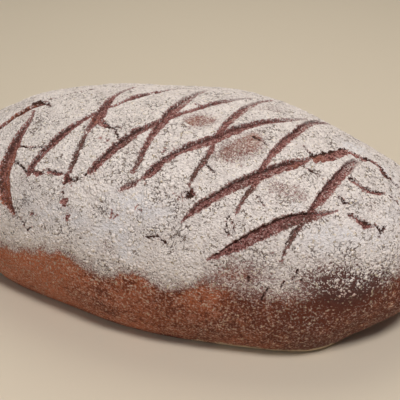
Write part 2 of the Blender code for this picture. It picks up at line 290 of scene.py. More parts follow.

# %% [markdown]
# The crust also cracked on its own as it dried: short ragged cracks that run from one slash to the next or along
# the shoulder. They are given as a few points each, with the width they gaped to and their depth. A narrow one is
# painted dark all over with shade. A wide one gapes like a small slash: painted shade under its far lip, with torn
# crumb on the near side. Where the crust tore open in a patch, or a gas bubble burst, there are shallow spots of
# bare crumb, the deepest of them with painted shade inside.

# %% Cracks, torn spots and a burst bubble
CRACKS = (                    # width, depth, then plan points, all in millimetres
    (1.8, 1.6, ((70.4, -9.4), (72.6, -11.2), (74.4, -12.2), (76.6, -12.9))),
    (7.6, 1.3, ((77.4, -15.5), (80.2, -11.8), (83.2, -7.6), (86.4, -2.6), (89.4, 3.0))),
    (4.0, 2.2, ((89.6, 6.0), (92.0, 5.6), (95.0, 4.6), (98.5, 4.6), (101.7, 6.4), (105.4, 6.9), (108.2, 5.1),
                (111.7, 1.4), (113.5, 1.0))),
    (1.6, 1.2, ((113.5, 1.0), (116.5, 0.0), (119.3, -0.4))),
    (2.6, 1.7, ((95.8, -18.6), (99.9, -18.8), (103.1, -20.0), (107.0, -18.8), (112.3, -15.7))),
    (1.4, 1.2, ((114.4, -13.6), (117.9, -12.7), (121.0, -13.6))),
    (2.8, 1.5, ((100.5, -38.2), (103.9, -38.0), (107.3, -38.0), (111.5, -36.2))),
    (1.3, 1.0, ((113.9, -35.1), (115.9, -35.0), (117.5, -32.4))),
    (1.2, 0.9, ((115.9, -35.0), (115.2, -38.5))),
    (1.5, 1.0, ((94.0, -32.6), (95.5, -33.3), (97.7, -34.1))),
    (1.1, 0.8, ((71.0, -23.0), (77.0, -25.0), (83.0, -26.4))),
    (1.3, 0.9, ((80, -53), (77, -57), (75, -61), (74, -66))),
    (0.9, 0.7, ((56, -49), (59, -51), (61, -52))),
    (1.1, 0.8, ((45, -15), (49, -16), (54, -18))),
    (3.4, 1.4, ((-40.4, -24.0), (-36.0, -27.1), (-31.0, -29.0))),
    (2.0, 1.3, ((-31.0, -29.0), (-27.0, -30.2), (-24.6, -29.1))),
    (1.4, 1.0, ((-27.5, -30), (-25, -32), (-22, -36), (-20, -38))),
    (1.4, 1.0, ((-78, -50), (-72, -53), (-67, -56))),
    (2.4, 1.2, ((-65, -56.5), (-58, -57.5), (-53, -57))),
    (2.8, 1.2, ((-53, -57), (-48.4, -57.9), (-44.7, -58.3), (-40, -59))),
    (0.9, 0.7, ((-41, -60), (-41, -64), (-40, -66))),
    (1.2, 0.9, ((-78, -42), (-71, -44), (-66, -44), (-61, -45))),
    (1.5, 1.0, ((-82, -6), (-76, -9), (-74, -8))),
    (1.6, 0.8, ((-86, -1), (-80, 3), (-72, 10), (-62, 17))),
    (1.5, 1.0, ((-29, -55), (-31, -58), (-34, -60), (-38, -60.5))),
    (1.0, 0.7, ((28, -42), (31, -44), (34, -46))),
    (0.9, 0.6, ((9, -75), (14, -74), (19, -75))),
    (1.1, 0.8, ((69.8, -72.9), (68.8, -73.6), (67.6, -74.2))),
    (0.8, 0.6, ((76.4, -69.9), (75.7, -71.0))),
    (0.9, 0.7, ((82.0, -66.2), (80.8, -68.2))),
    (0.8, 0.6, ((85.6, -65.2), (84.6, -67.2))),
    (0.8, 0.6, ((60.7, -73.3), (60.1, -74.2))),
    (0.9, 0.7, ((-64, -70.5), (-60, -72.5), (-57, -72.8))),
)
TORN_SPOTS = (                # middle, radius, depth, in millimetres
    ((24.5, -58.5), 2.1, 1.5), ((26.5, -57.0), 1.8, 1.2), ((18.5, -59.0), 0.8, 0.7), ((20.5, -60.5), 0.9, 0.7),
    ((22.5, -61.5), 0.7, 0.7), ((16.0, -57.0), 0.7, 0.6), ((-40.5, -60.5), 2.9, 0.9), ((-38.0, -68.5), 2.1, 0.6),
    ((-35.5, -72.0), 1.4, 0.5), ((-90.0, -1.5), 3.2, 1.5), ((-86.5, -1.0), 2.2, 1.2), ((-40.5, -22.0), 3.0, 0.9),
    ((-57.0, -70.5), 1.3, 0.5), ((0.5, -67.0), 0.9, 0.6), ((3.0, -68.0), 0.7, 0.5),
    ((-11.0, -71.0), 1.1, 0.6), ((-8.5, -71.2), 0.8, 0.5), ((42.5, -6.5), 1.1, 1.2), ((8.0, 2.0), 1.2, 1.3),
    ((109.0, -37.0), 2.0, 0.9), ((36.0, -59.5), 1.2, 0.8), ((-37.0, -25.5), 2.6, 0.9), ((-29.5, 3.5), 2.2, 0.8),
    ((10.0, -37.0), 0.8, 0.7), ((6.0, -39.5), 0.7, 0.6), ((-30.0, -38.0), 0.7, 0.6), ((-27.0, -39.5), 0.9, 0.6),
    ((49.0, -42.0), 0.6, 0.6), ((84.0, -36.0), 0.7, 0.6), ((1.5, -57.5), 0.7, 0.6), ((69.0, -66.0), 0.6, 0.5),
)
BUBBLE_RINGS = (((48.0, -64.0), 1.6, 3.2, 0.45), ((46.6, -66.3), 0.7, 0.9, 0.0))      # middle, radii, turn
RING_WIDTH = 1.0
RING_DEPTH = 0.8


def ring_line(middle, narrow, long, turn, steps=18):
    """Plan points round an oval."""
    angle = np.linspace(0.0, 2 * math.pi, steps + 1)
    across, along = narrow * np.cos(angle), long * np.sin(angle)
    return np.column_stack((middle[0] + across * math.cos(turn) - along * math.sin(turn),
                            middle[1] + across * math.sin(turn) + along * math.cos(turn)))


cracks = []
for width, depth, stations in CRACKS:
    cracks.append((*laid_on_crust(smooth_way(stations) * MM), width * MM, depth * MM))
for ring in BUBBLE_RINGS:
    cracks.append((*laid_on_crust(ring_line(*ring) * MM), RING_WIDTH * MM, RING_DEPTH * MM))
torn_spots = []
for middle, radius, depth in TORN_SPOTS:
    torn_spots.append((laid_on_crust([np.array(middle) * MM])[0][0], radius * MM, depth * MM))
print("cracks:", len(cracks), "torn spots:", len(torn_spots))


# %% Measuring from a line on the crust
def from_line(points, spots, normals, reach=0.012):
    """For each point: distance to the line, share of the way along it, and the side, +1 to its left."""
    distance = np.full(len(points), 1.0)
    share = np.zeros(len(points))
    side = np.ones(len(points))
    near = np.all((points > spots.min(0) - reach) & (points < spots.max(0) + reach), axis=1).nonzero()[0]
    pieces = len(spots) - 1
    for k in range(pieces):
        run = spots[k + 1] - spots[k]
        gap = points[near] - spots[k]
        t = np.clip(gap @ run / (run @ run), 0.0, 1.0)
        gap = gap - t[:, None] * run
        length = np.linalg.norm(gap, axis=1)
        closer = length < distance[near]
        chosen = near[closer]
        distance[chosen] = length[closer]
        share[chosen] = (k + t[closer]) / pieces
        left = np.cross(normals[k], run)
        side[chosen] = np.where(gap[closer] @ left >= 0, 1.0, -1.0)
    return distance, share, side


def width_at(widths, share):
    return np.interp(share, np.linspace(0.0, 1.0, len(widths)), widths)


# %% [markdown]
# The mesh is cut finer only where the crust has fine form. A first pass refines a band round every slash, crack
# and pit, and a second one what lies in them and on their lips. Far from them the even grid is fine enough.

# %% Refine the skin round the slashes
def deepest_inside(points):
    """How far inside the nearest slash, crack or pit each point lies: negative outside, in metres."""
    inside = np.full(len(points), -1.0)
    for spots, normals, widths, _ in slashes:
        distance, share, _ = from_line(points, spots, normals)
        inside = np.maximum(inside, width_at(widths, share) / 2 - distance)
    for spots, normals, width, _ in cracks:
        distance, _, _ = from_line(points, spots, normals)
        inside = np.maximum(inside, width / 2 - distance)
    for spot, radius, _ in torn_spots:
        inside = np.maximum(inside, radius - np.linalg.norm(points - spot, axis=1))
    return inside


def refine(mesh, margin):
    """Cuts in four each face that lies in, or within this margin of, a slash, crack or pit."""
    middles = np.array([face.calc_center_median() for face in mesh.faces])
    middles /= np.linalg.norm(middles, axis=1)[:, None]
    chosen = deepest_inside(hand_shaped(on_loaf(middles))) > -margin
    edges = {edge for face, wanted in zip(list(mesh.faces), chosen) if wanted for edge in face.edges}
    bmesh.ops.subdivide_edges(mesh, edges=list(edges), cuts=1, use_grid_fill=True)


for margin in (0.0024, 0.0010):
    refine(skin, margin)
bmesh.ops.triangulate(skin, faces=skin.faces[:])
print("refined skin:", len(skin.faces), "triangles")

# %% [markdown]
# ## Relief of the crust
# From here on the skin lies on the loaf's form, and each point is moved along the crust's normal by a height that
# adds up: small bumps everywhere, the slashes with their floor, wall and lips, the cracks, the pits, and the
# thickness of the caked flour. The distances that give those heights are kept as attributes on the vertices, so
# that the materials later change exactly where the form does.

# %% Points and normals of the smooth loaf
def fade(value, low, high):
    """0 below low, 1 above high, and a smooth step between."""
    t = np.clip((value - low) / (high - low), 0.0, 1.0)
    return t * t * (3 - 2 * t)


points = dough_points(skin)
for vert, place in zip(skin.verts, points):
    vert.co = place
bmesh.ops.recalc_face_normals(skin, faces=skin.faces[:])
skin.normal_update()
outward = np.array([vert.normal for vert in skin.verts])
print("skin:", len(points), "vertices, lowest", round(1000 * points[:, 2].min(), 2), "mm")

# %% [markdown]
# ### Where the flour lies
# Flour is dusted on the proofed dough from above, so it covers the crown, thins out down the flanks and stops at
# a ragged line. A short table gives, along the near flank, how low the last flour reaches and where the cover is
# full. The far flank, which got its dusting in the same way, has a line of its own from slow noise. Soft round
# spots are added for the rest: where the coat is thin, where it was rubbed off down to a grey brown, where it
# lies as smooth white powder, and where it caught as coarse specks on dark crust at the fuller end.

# %% Flour line on the flanks
FLOUR_LINE = (                # x, lowest flour, full flour, in millimetres
    (-150, 37, 47), (-120, 37, 48), (-100, 36, 47), (-81, 36, 46), (-71, 38, 48), (-56, 44, 53), (-43, 48, 57),
    (-34, 49, 58), (-29, 44, 58), (-22, 41, 56), (-12, 42, 52), (-4, 47, 54), (3, 52, 57), (9, 49, 56),
    (15, 44, 54), (24, 43, 52), (33, 48, 56), (40, 50, 64), (50, 46, 66), (60, 42, 68), (72, 40, 67),
    (85, 42, 67), (96, 44, 68), (106, 41, 70), (116, 42, 68), (126, 46, 66), (136, 48, 64), (147, 48, 60),
)
THIN_SPOTS = (                # plan place, radius, how much of the cover is missing
    ((-0.013, -0.042), 0.0050, 0.28), ((0.046, 0.020), 0.0060, 0.40), ((0.040, 0.016), 0.0050, 0.30),
    ((0.010, -0.032), 0.0050, 0.22), ((0.116, -0.014), 0.0040, 0.20), ((-0.090, -0.016), 0.0045, 0.45),
    ((-0.096, -0.010), 0.0040, 0.35), ((-0.027, -0.037), 0.0045, 0.25), ((-0.024, -0.058), 0.0045, 0.20),
    ((0.003, -0.046), 0.0040, 0.20), ((0.022, -0.060), 0.0035, 0.28), ((-0.036, -0.070), 0.0035, 0.30),
    ((0.052, -0.073), 0.0050, 0.30), ((-0.011, -0.071), 0.0020, 0.30), ((-0.012, -0.078), 0.0050, 0.35),
    ((0.058, -0.062), 0.0060, 0.12), ((0.070, -0.068), 0.0070, 0.22), ((0.088, -0.064), 0.0070, 0.24),
    ((0.056, -0.074), 0.0070, 0.36), ((0.047, -0.0755), 0.0050, 0.30), ((0.063, -0.072), 0.0060, 0.28),
    ((0.100, -0.058), 0.0080, 0.26), ((-0.068, -0.060), 0.0050, 0.20),
    ((0.063, -0.042), 0.0060, 0.36), ((0.070, -0.041), 0.0070, 0.38), ((0.077, -0.042), 0.0060, 0.30),
    ((0.108, -0.027), 0.0060, 0.30), ((0.062, 0.000), 0.0050, 0.25), ((-0.020, -0.010), 0.0050, 0.25),
)
RUBBED_SPOTS = (              # where the coat was rubbed off down to the grey brown crust
    ((0.0110, -0.0150), 0.0055, 0.6), ((0.0150, -0.0130), 0.0060, 0.7), ((0.0190, -0.0105), 0.0055, 0.6),
    ((0.0350, -0.0350), 0.0055, 0.5), ((0.0375, -0.0300), 0.0060, 0.6), ((0.0405, -0.0245), 0.0060, 0.6),
    ((0.0435, -0.0190), 0.0060, 0.6), ((0.0455, -0.0130), 0.0050, 0.5), ((0.0465, -0.0260), 0.0055, 0.5),
    ((0.0500, -0.0190), 0.0050, 0.3), ((0.0420, -0.0360), 0.0050, 0.3),
)
SPECKLED_SPOTS = (            # where the flour caught as coarse clumps on dark crust
    ((0.092, -0.064), 0.009, 0.7), ((0.103, -0.060), 0.010, 1.0), ((0.113, -0.053), 0.010, 1.0),
    ((0.120, -0.045), 0.009, 0.8), ((0.107, -0.056), 0.010, 0.5),
)
POWDER_SPOTS = (              # plan place, radius, strength of the smooth white dust
    ((-0.029, -0.073), 0.0055, 0.8), ((-0.019, -0.077), 0.0050, 0.9), ((-0.012, -0.074), 0.0050, 0.9),
    ((-0.002, -0.077), 0.0050, 1.0), ((0.000, -0.079), 0.0040, 1.0), ((-0.006, -0.073), 0.0050, 0.8),
    ((-0.008, -0.067), 0.0070, 0.7), ((0.002, -0.065), 0.0060, 0.7), ((0.008, -0.069), 0.0060, 0.7),
    ((0.016, -0.066), 0.0050, 0.6), ((0.007, -0.077), 0.0035, 0.5), ((-0.040, -0.071), 0.0050, 0.6),
    ((0.076, -0.047), 0.0035, 0.6), ((-0.050, -0.0715), 0.0060, 0.7), ((-0.061, -0.0670), 0.0050, 0.5),
    ((0.093, -0.052), 0.0070, 0.8), ((0.102, -0.046), 0.0060, 0.7),
    ((0.085, -0.057), 0.0060, 0.5), ((0.090, 0.012), 0.0070, 0.9), ((0.096, 0.016), 0.0060, 0.8),
    ((0.104, -0.030), 0.0050, 0.5), ((0.118, -0.024), 0.0060, 0.5), ((-0.096, -0.052), 0.0050, 0.3),
    ((0.125, -0.010), 0.0110, 0.6), ((0.116, -0.040), 0.0080, 0.5), ((0.112, 0.006), 0.0080, 0.5),
)


SANDY = 0.07                 # dust that stuck to the bare flanks
THINNEST = 0.70              # share of the coat that a rubbed patch can lose


def spots_at(points, spots):
    """Sum of soft round spots, each 1 times its strength in the middle."""
    total = np.zeros(len(points))
    for middle, radius, strength in spots:
        middle = laid_on_crust([middle])[0][0]
        total += strength * np.exp(-(np.linalg.norm(points - middle, axis=1) / radius) ** 2)
    return total


def flour_cover(points):
    """How much flour lies on the crust: 0 none, 0.2 single grains, 0.5 a sandy veil, 1 a full coat."""
    line = np.array(FLOUR_LINE) * MM
    lowest = np.interp(points[:, 0], line[:, 0], line[:, 1])
    full = np.interp(points[:, 0], line[:, 0], line[:, 2])
    far_flank = fade(points[:, 1], -0.020, 0.020)
    slow = noise_at(points, 0.022, 5.0)
    lowest += far_flank * (0.041 + 0.010 * slow - lowest)
    full += far_flank * (0.059 + 0.010 * slow - full)
    ragged = 0.0024 * noise_at(points, 0.006, 11.0) + 0.0014 * noise_at(points, 0.0025, 17.0)
    cover = SANDY + (1.0 - SANDY) * fade(points[:, 2] + ragged, lowest - 0.003, full + 0.002)
    cover += 0.12 * noise_at(points, 0.012, 19.0) * fade(cover, 0.3, 0.9)
    thinner = spots_at(points, THIN_SPOTS) + spots_at(points, RUBBED_SPOTS)
    return cover - np.minimum(thinner, THINNEST) * fade(cover, 0.2, 0.7)


cover = flour_cover(points)
speckled = np.clip(spots_at(points, SPECKLED_SPOTS), 0.0, 1.0)
powder = np.clip(spots_at(points, POWDER_SPOTS) * (1.0 + 0.8 * noise_at(points, 0.003, 29.0)), 0.0, 1.0)
powder *= fade(cover, 0.2, 0.6)
baked = 0.9 * fade(points[:, 0], -0.08, 0.12) - 0.2 + 0.4 * noise_at(points, 0.028, 33.0) + 0.5 * speckled
print("floured share of the vertices:", round(float((cover > 0.5).mean()), 2))

# %% [markdown]
# The slashes are not all one colour. Towards the crown some flour fell back into them, where they opened least
# they are narrow and carry painted shade, and where the dough tore last it stayed orange. The heel picked up
# flour from the baking board.

# %% Tones of the slashes and the floury rim
RIM_HEIGHT = 0.0026
DUSTED_CUTS = (               # plan place, radius, strength
    ((0.004, 0.022), 0.009, 0.7), ((0.000, 0.008), 0.010, 0.6), ((0.095, -0.004), 0.008, 0.8),
    ((-0.041, 0.012), 0.009, 0.4), ((0.033, 0.016), 0.010, 0.45), ((0.067, 0.022), 0.010, 0.4),
    ((-0.012, 0.025), 0.009, 0.5), ((0.026, 0.020), 0.008, 0.4), ((-0.083, -0.015), 0.006, 0.5),
    ((-0.006, -0.060), 0.004, 0.4), ((0.092, -0.041), 0.005, 0.3), ((0.060, 0.018), 0.008, 0.3),
)
# Spots of painted shade where the slashes opened least and stayed narrow.
SHADED_CUTS = (
    ((-0.040, -0.051), 0.008, 0.8), ((-0.041, -0.040), 0.008, 0.8), ((-0.005, -0.048), 0.008, 0.7),
    ((0.025, -0.050), 0.007, 0.7), ((0.028, -0.040), 0.007, 0.7), ((0.053, -0.050), 0.008, 0.8),
    ((0.078, -0.060), 0.008, 0.8), ((0.082, -0.050), 0.006, 0.5), ((-0.017, -0.038), 0.008, 0.5),
    ((-0.060, -0.050), 0.007, 0.4), ((0.076, -0.056), 0.006, 0.3),
)
WARM_CUTS = (
    ((-0.041, -0.022), 0.005, 0.5), ((-0.078, -0.062), 0.009, 0.9), ((-0.071, -0.068), 0.007, 0.8),
    ((0.078, -0.013), 0.006, 0.6), ((-0.093, -0.006), 0.010, 0.6), ((0.070, -0.024), 0.005, 0.5),
    ((-0.076, 0.008), 0.012, 0.8), ((-0.080, -0.052), 0.009, 0.8), ((-0.079, -0.042), 0.007, 0.4),
    ((-0.105, -0.012), 0.012, 0.7), ((-0.098, -0.004), 0.008, 0.5),
)
cut_dust = np.clip(spots_at(points, DUSTED_CUTS) + 0.35 * fade(points[:, 1], -0.010, 0.030), 0.0, 1.0)
cut_shade = np.clip(spots_at(points, SHADED_CUTS), 0.0, 1.0)
cut_warmth = np.clip(spots_at(points, WARM_CUTS), 0.0, 1.0)
over_foot = points[:, 2] - section_at(points[:, 0])[2]
rim = (1.0 - fade(over_foot, RIM_HEIGHT, 2.0 * RIM_HEIGHT)) * (1.0 - fade(points[:, 1], -0.040, -0.020))
rim *= fade(points[:, 0], 0.020, 0.050) * (1.0 - fade(points[:, 0], 0.096, 0.106))
rim *= 0.8 + 0.8 * noise_at(points, 0.006, 91.0)
print("floury rim on", int((rim > 0.3).sum()), "vertices")

# %% [markdown]
# ### Section of a slash
# Across a slash the height falls a little at the near lip, runs down over torn crumb to its deepest line under
# the far side and comes back up in a low steep wall. The far lip stands a little proud, because the dough lifted
# there as it sprang. The edges of the cut are ragged, so its distances are shaken before they are used.

# %% Slash relief
RAGGED = 0.00045             # how far the torn edge strays from the blade's line
FAR_LIP = 0.00055
NEAR_LIP = 0.00020


def slash_relief(points):
    """Height, distance inside and nearness to the far wall, over all slashes."""
    height = np.zeros(len(points))
    lip_all = np.zeros(len(points))
    inside_all = np.full(len(points), -1.0)
    wall_all = np.zeros(len(points))
    shake = noise_at(points, 0.0024, 3.0) + 0.7 * noise_at(points, 0.0010, 7.0)
    torn = 0.6 * noise_at(points, 0.0018, 21.0) + 0.6 * noise_at(points, 0.0008, 23.0)
    for spots, normals, widths, depth in slashes:
        distance, share, side = from_line(points, spots, normals)
        half = width_at(widths, share) / 2
        opened = np.clip(half / 0.0025, 0.15, 1.0)
        inside = half - distance + RAGGED * shake * np.clip(half / 0.0015, 0.3, 1.0)
        across = 0.5 + 0.5 * side * (1.0 - np.clip(inside / half, 0.0, 1.0))
        floor = 0.35 * fade(across, 0.0, 0.16) + 0.65 * fade(across, 0.25, 0.86)
        floor *= 1.0 - fade(across, 0.90, 1.0)
        in_cut = fade(inside, 0.0, 0.0002)
        sunk = in_cut * (-depth * opened * floor + 0.00055 * torn * opened * fade(inside, 0.0, 0.0006))
        lip = np.where(side > 0, FAR_LIP, NEAR_LIP) * opened * np.exp(-(np.minimum(inside, 0.0) / 0.0011) ** 2)
        height = np.where(inside > 0, np.minimum(height, sunk), height)
        lip_all = np.maximum(lip_all, np.where(inside > -0.004, lip, 0.0))
        wall_all = np.maximum(wall_all, in_cut * fade(across, 0.72, 0.92) * opened)
        inside_all = np.maximum(inside_all, inside)
    lip_all *= 1.0 - fade(inside_all, 0.0, 0.0003)
    lip_all *= 0.6 + 0.8 * noise_at(points, 0.004, 31.0)
    return height + lip_all, inside_all, wall_all


slash_height, slash_inside, slash_wall = slash_relief(points)
print("slashes go", round(-1000 * slash_height.min(), 1), "mm deep")

# %% Crack and torn spot relief
# Wide cracks get painted shade only under the far lip, narrow ones all over.
WIDE_CRACK = 0.0023          # wider ones show torn crumb on their near side and are dark only under the far lip


def crack_relief(points):
    """Height, distance inside and painted shade, over all cracks and torn spots. They wander, so the points are
    shaken.
    """
    wander = [0.0009 * noise_at(points, 0.0035, seed) + 0.0005 * noise_at(points, 0.0012, seed + 1)
              for seed in (41.0, 43.0, 47.0)]
    shaken = points + np.column_stack(wander)
    gape = 0.85 + 0.7 * noise_at(points, 0.0028, 71.0)
    inside_all = np.full(len(points), -1.0)
    height = np.zeros(len(points))
    dark = np.zeros(len(points))
    for spots, normals, width, depth in cracks:
        distance, _, side = from_line(shaken, spots, normals)
        half = width / 2 * gape
        inside = half - distance
        far_side = fade(0.5 + 0.5 * side * distance / (width / 2), 0.70, 0.95)
        undercut = np.where(width > WIDE_CRACK, far_side, 1.0)
        height = np.minimum(height, -depth * fade(inside, -0.0003, width / 4) * (0.5 + 0.5 * undercut))
        # Painted shade: all over a narrow crack, under the far lip of a wide one.
        dark = np.maximum(dark, undercut * fade(inside, -0.0004, 0.0))
        inside_all = np.maximum(inside_all, inside)
    for spot, radius, depth in torn_spots:
        inside = radius * (0.55 + 0.6 * gape) - np.linalg.norm(points + 2.2 * (shaken - points) - spot, axis=1)
        height = np.minimum(height, -depth * fade(inside, -0.0002, 0.5 * radius))
        # Painted shade inside the deepest pits.
        dark = np.maximum(dark, fade(depth, 0.0011, 0.0016) * fade(inside, -0.0004, 0.0))
        inside_all = np.maximum(inside_all, inside)
    return height, inside_all, dark


crack_height, crack_inside, crack_painted_shade = crack_relief(points)

# %% [markdown]
# ### Bumps and the flour's thickness
# Baked rye dough is never smooth: it has broad low bumps and a finer grain. Where the flour is caked it adds a
# third of a millimetre, which ends at the lips of the slashes and at the edge of each patch.

# %% Bumps, flour and the finished heights
FLOUR_THICKNESS = 0.00035
bumps = 0.00040 * noise_at(points, 0.009, 51.0) + 0.00024 * noise_at(points, 0.0042, 53.0)
grain = 0.00012 * noise_at(points, 0.0024, 57.0)
plates = 0.00010 * noise_at(points, 0.0031, 61.0)
outside_cuts = 1.0 - fade(slash_inside, -0.0002, 0.0001)
caked = fade(cover, 0.45, 0.9) * outside_cuts
height = bumps + grain + slash_height + np.minimum(crack_height, 0.0)
height += caked * (FLOUR_THICKNESS + plates)
clear_of_table = np.minimum(1.0, points[:, 2] / 0.004)
moved = points + outward * (height * clear_of_table)[:, None]
print("heights from", round(1000 * height.min(), 2), "to", round(1000 * height.max(), 2), "mm")

# %% [markdown]
# The finished skin must fill the same box as the solid, so it is fitted to it: a shift that centres it and a
# scale on each axis that stays within a per cent of one.

# %% Fit the skin into the solid's box
MARGIN = 0.0004              # kept free for flour clumps and loose grains
low, high = moved.min(0), moved.max(0)
goal_low = np.array(cad_low) + MARGIN * np.array((1.0, 1.0, 0.0))
goal_high = np.array(cad_high) - MARGIN
fit_scale = (goal_high - goal_low) / (high - low)


def into_box(places):
    """Places on the raw dough, moved to the finished loaf's box."""
    return goal_low + (places - low) * fit_scale


finished = into_box(moved)
print("fit scale:", [round(float(s), 4) for s in fit_scale])

# %% Make the crust
def finish_mesh(name, mesh):
    """Turns a bmesh into a smooth-shaded object with its place in its mesh."""
    data = bpy.data.meshes.new(name)
    mesh.to_mesh(data)
    mesh.free()
    data.shade_smooth()
    thing = bpy.data.objects.new(name, data)
    bpy.context.scene.collection.objects.link(thing)
    return thing


def keep_attribute(thing, name, values):
    layer = thing.data.attributes.new(name, "FLOAT", "POINT")
    layer.data.foreach_set("value", np.asarray(values, dtype=np.float32))


for vert, place in zip(skin.verts, finished):
    vert.co = place
crust = finish_mesh("crust", skin)
keep_attribute(crust, "slash_inside", np.clip(slash_inside / MM, -4.0, 4.0))
keep_attribute(crust, "slash_wall", slash_wall)
keep_attribute(crust, "crack_inside", np.clip(crack_inside / MM, -3.0, 2.0))
keep_attribute(crust, "flour_cover", cover)
keep_attribute(crust, "powder", powder)
keep_attribute(crust, "baked", baked)
keep_attribute(crust, "crack_painted_shade", crack_painted_shade)
keep_attribute(crust, "speckled", speckled)
keep_attribute(crust, "cut_dust", cut_dust)
keep_attribute(crust, "cut_shade", cut_shade)
keep_attribute(crust, "cut_warmth", cut_warmth)
keep_attribute(crust, "rim", rim)
print("crust:", len(crust.data.polygons), "triangles")

# %% [markdown]
# ## Finishes
# Nothing on a loaf is painted in one colour. The finish is built from procedural patterns that are laid out in
# millimetres on the object's own coordinates, and from the attributes that the relief left on the mesh. A few
# short helpers keep the node work readable: each adds one node, joins what feeds it and hands back its output.

# %% Node helpers
def linear(red, green, blue):
    """A colour given as it is mixed on screen, 0 to 255, as the linear values that a shader works in."""
    def channel(value):
        share = value / 255
        return share / 12.92 if share <= 0.04045 else ((share + 0.055) / 1.055) ** 2.4
    return (channel(red), channel(green), channel(blue), 1.0)


def start_finish(name):
    """A new material: its tree, its shader and the place on the object in millimetres."""
    material = bpy.data.materials.new(name)
    material.use_nodes = True
    tree = material.node_tree
    coordinates = tree.nodes.new("ShaderNodeTexCoord")
    millimetres = tree.nodes.new("ShaderNodeMapping")
    millimetres.inputs["Scale"].default_value = (1000.0, 1000.0, 1000.0)
    tree.links.new(coordinates.outputs["Object"], millimetres.inputs["Vector"])
    return material, tree, tree.nodes["Principled BSDF"], millimetres.outputs["Vector"]


def feed(tree, socket, value):
    """Joins a socket to a socket, or sets it to a number or colour."""
    if isinstance(value, bpy.types.NodeSocket):
        tree.links.new(value, socket)
    else:
        socket.default_value = value


def reading(tree, name):
    """The value of a vertex attribute."""
    node = tree.nodes.new("ShaderNodeAttribute")
    node.attribute_name = name
    return node.outputs["Fac"]


def math_node(tree, operation, first, second=0.0):
    node = tree.nodes.new("ShaderNodeMath")
    node.operation = operation
    feed(tree, node.inputs[0], first)
    feed(tree, node.inputs[1], second)
    return node.outputs[0]


def ramp(tree, value, low, high, start=0.0, end=1.0):
    """Start below low, end above high, and a smooth step between."""
    node = tree.nodes.new("ShaderNodeMapRange")
    node.interpolation_type = "SMOOTHSTEP"
    for name, number in (("Value", value), ("From Min", low), ("From Max", high), ("To Min", start), ("To Max", end)):
        feed(tree, node.inputs[name], number)
    return node.outputs["Result"]


def cloud(tree, place, size, detail=2.0, rough=0.5):
    """Soft noise from -1 to 1 with lumps of about this size in millimetres."""
    node = tree.nodes.new("ShaderNodeTexNoise")
    feed(tree, node.inputs["Vector"], place)
    feed(tree, node.inputs["Scale"], 1.0 / size)
    feed(tree, node.inputs["Detail"], detail)
    feed(tree, node.inputs["Roughness"], rough)
    centred = math_node(tree, "SUBTRACT", node.outputs["Fac"], 0.5)
    return math_node(tree, "MULTIPLY", centred, 3.0)


def cells(tree, place, size, feature="F1"):
    """Voronoi cells about this many millimetres across."""
    node = tree.nodes.new("ShaderNodeTexVoronoi")
    node.feature = feature
    feed(tree, node.inputs["Vector"], place)
    feed(tree, node.inputs["Scale"], 1.0 / size)
    return node


def blend(tree, share, below, above):
    node = tree.nodes.new("ShaderNodeMix")
    node.data_type = "RGBA"
    feed(tree, node.inputs[0], share)
    feed(tree, node.inputs[6], below)
    feed(tree, node.inputs[7], above)
    return node.outputs[2]


def summed(tree, *parts):
    """The sum of (socket, weight) pairs."""
    total = 0.0
    for socket, weight in parts:
        part = math_node(tree, "MULTIPLY", socket, weight)
        total = part if total == 0.0 else math_node(tree, "ADD", total, part)
    return total


# %% [markdown]
# ### The browned crust
# The material is worked out from the bottom up, as the loaf was. Lowest is the browned crust: reddish brown with
# darker clouds where it baked longer, and a fine grain, because coarse rye meal browns unevenly.

# %% Browned crust
crust_finish, tree, shader, place = start_finish("rye_crust_and_flour")
broad = cloud(tree, place, 22.0)
patch = cloud(tree, place, 6.0)
middling = cloud(tree, place, 2.4)
fine = cloud(tree, place, 1.2, detail=1.0)
dust = cloud(tree, place, 0.65, detail=0.0)
floured = reading(tree, "flour_cover")
browning = reading(tree, "baked")
coarse = reading(tree, "speckled")

BROWN = linear(188, 104, 66)
BROWN_LIGHT = linear(206, 144, 113)
BROWN_DARK = linear(101, 44, 24)
UNDER_DUST = linear(152, 111, 103)
SPECKLED_BROWN = linear(84, 48, 43)
darker = summed(tree, (broad, 0.4), (patch, 0.4), (middling, 0.4), (fine, 0.5), (browning, -0.9))
brown = blend(tree, ramp(tree, darker, -0.9, 0.35), BROWN_DARK, BROWN)
specks = summed(tree, (fine, 0.7), (dust, 0.9), (patch, 0.3), (browning, -0.50))
brown = blend(tree, ramp(tree, specks, 0.1, 0.9), brown, BROWN_LIGHT)
brown = blend(tree, ramp(tree, floured, 0.14, 0.48, 0.0, 0.88), brown, UNDER_DUST)
brown = blend(tree, math_node(tree, "MULTIPLY", coarse, 0.85), brown, SPECKLED_BROWN)

# %% [markdown]
# ### Torn crumb
# The slashes opened late, so their crumb is paler and pinker than the crust, and torn: lighter ridges, darker
# pores, and a band of painted shade along the far wall, where the tear runs in under the lip. A little flour fell
# in.

# %% Torn crumb
slash = reading(tree, "slash_inside")
wall = reading(tree, "slash_wall")
crack = reading(tree, "crack_inside")
crack_shade = reading(tree, "crack_painted_shade")
fallen_in = reading(tree, "cut_dust")
shade = reading(tree, "cut_shade")
warmth = reading(tree, "cut_warmth")

CRUMB = linear(156, 102, 95)
CRUMB_LIGHT = linear(214, 172, 160)
CRUMB_DARK = linear(84, 46, 38)
CRUMB_WALL_SHADE = linear(62, 40, 32)
CRUMB_SHADE = linear(88, 66, 54)
CRUMB_WARM = linear(172, 102, 74)
torn = summed(tree, (patch, 0.5), (middling, 0.6), (fine, 0.8), (dust, 0.5))
crumb = blend(tree, ramp(tree, torn, -0.5, 0.2), CRUMB_DARK, CRUMB)
crumb = blend(tree, ramp(tree, torn, 0.2, 0.9), crumb, CRUMB_LIGHT)
